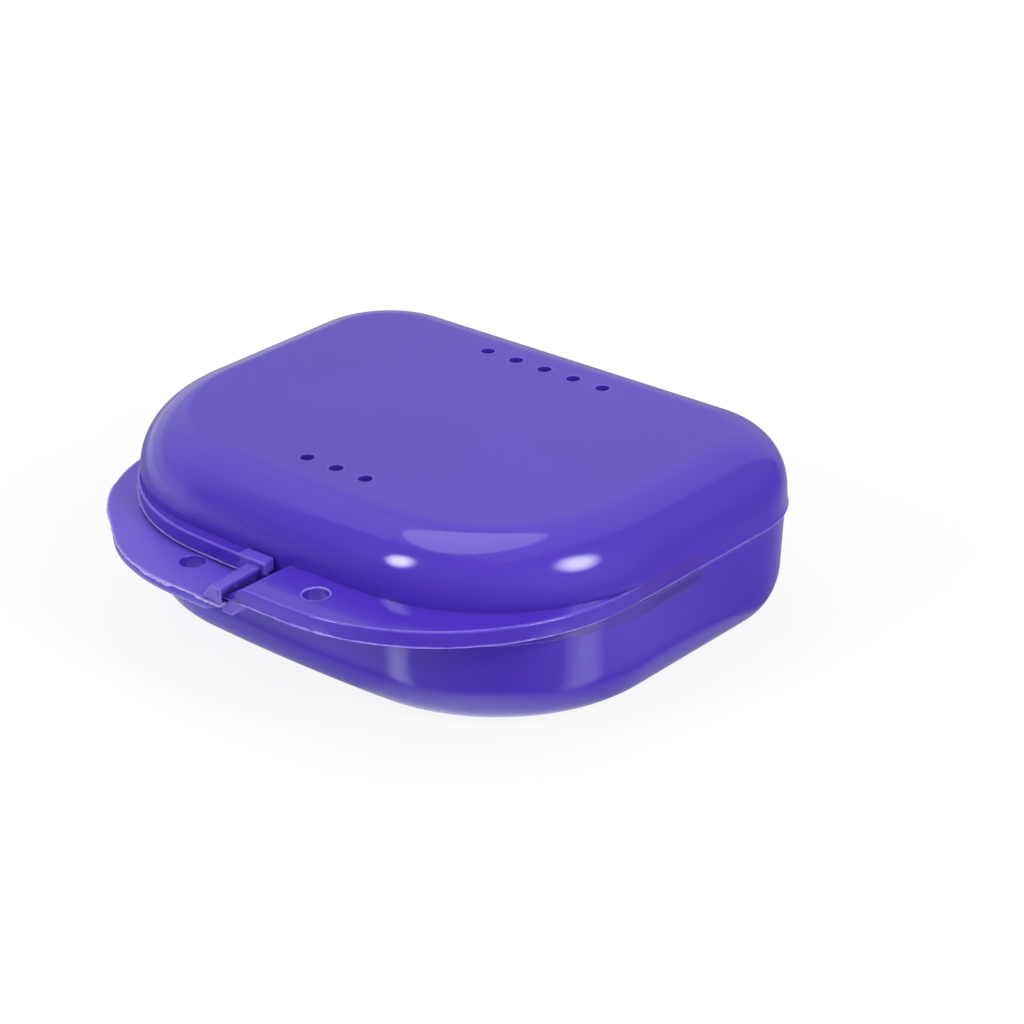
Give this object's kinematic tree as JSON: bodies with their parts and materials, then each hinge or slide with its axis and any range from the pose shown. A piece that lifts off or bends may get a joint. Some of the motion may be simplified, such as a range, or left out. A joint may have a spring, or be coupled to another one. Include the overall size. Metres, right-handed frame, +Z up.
{
  "type": "denture case",
  "caption": "Hinged pocket case for a denture or retainer: two moulded shells, a snap catch between half lips at the front, vents in the lid.",
  "frame": {"origin": "middle of the closed case's footprint, on the flat underside of the base", "axes": "+Z up, +X along the case's width, +Y towards the hinge; the lips and the catch are at -Y"},
  "size_m": [0.08, 0.077, 0.025],
  "materials": {
    "base_plastic": "glossy moulded polypropylene, purple",
    "lid_plastic": "glossy moulded polypropylene, purple",
    "pin_steel": "bright drawn stainless wire"
  },
  "bodies": {
    "base": {"base_shell": "base_plastic", "hinge_pin_left": "pin_steel", "hinge_pin_right": "pin_steel"},
    "lid": {"lid_shell": "lid_plastic"}
  },
  "joints": [
    {"name": "lid_hinge", "type": "hinge", "parent": "base", "child": "lid", "pos_m": [0, 0.0361, 0.01463], "axis": [-1, 0, 0], "range_deg": [0, 180]}
  ]
}
